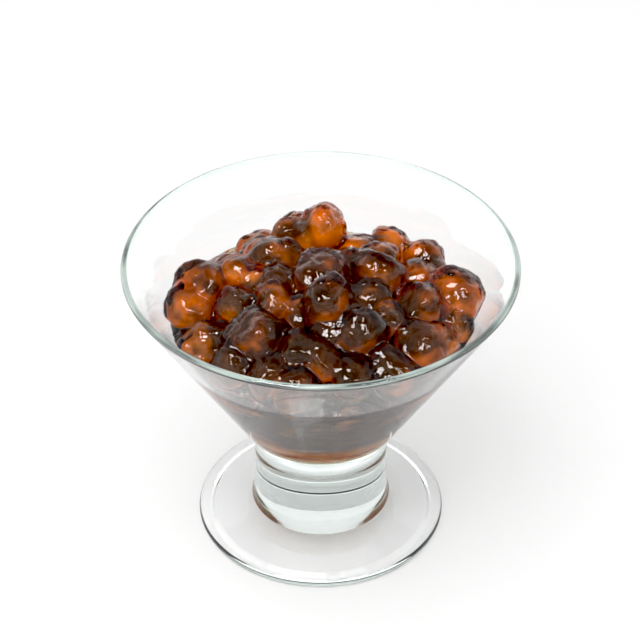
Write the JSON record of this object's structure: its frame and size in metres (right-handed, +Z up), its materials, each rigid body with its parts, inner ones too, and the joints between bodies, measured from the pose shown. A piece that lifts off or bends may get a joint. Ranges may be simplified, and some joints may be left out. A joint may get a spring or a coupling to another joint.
{
  "type": "dessert cup of tapioca pearls",
  "caption": "Small footed dessert glass with a flared bowl, heaped with glossy brown tapioca pearls in syrup.",
  "frame": {"origin": "middle of the foot's underside, on the surface that the glass stands on", "axes": "+Z up along the axis of the glass, -Y towards the side seen in the picture"},
  "size_m": [0.096, 0.096, 0.0827],
  "materials": {
    "clear_glass": "clear, smooth and polished, with a faint green tint at the rim",
    "tapioca_in_syrup": "translucent amber to dark brown gel, wet with syrup and very glossy"
  },
  "bodies": {
    "root": {"glass": "clear_glass", "tapioca_pearls": "tapioca_in_syrup"}
  },
  "joints": []
}
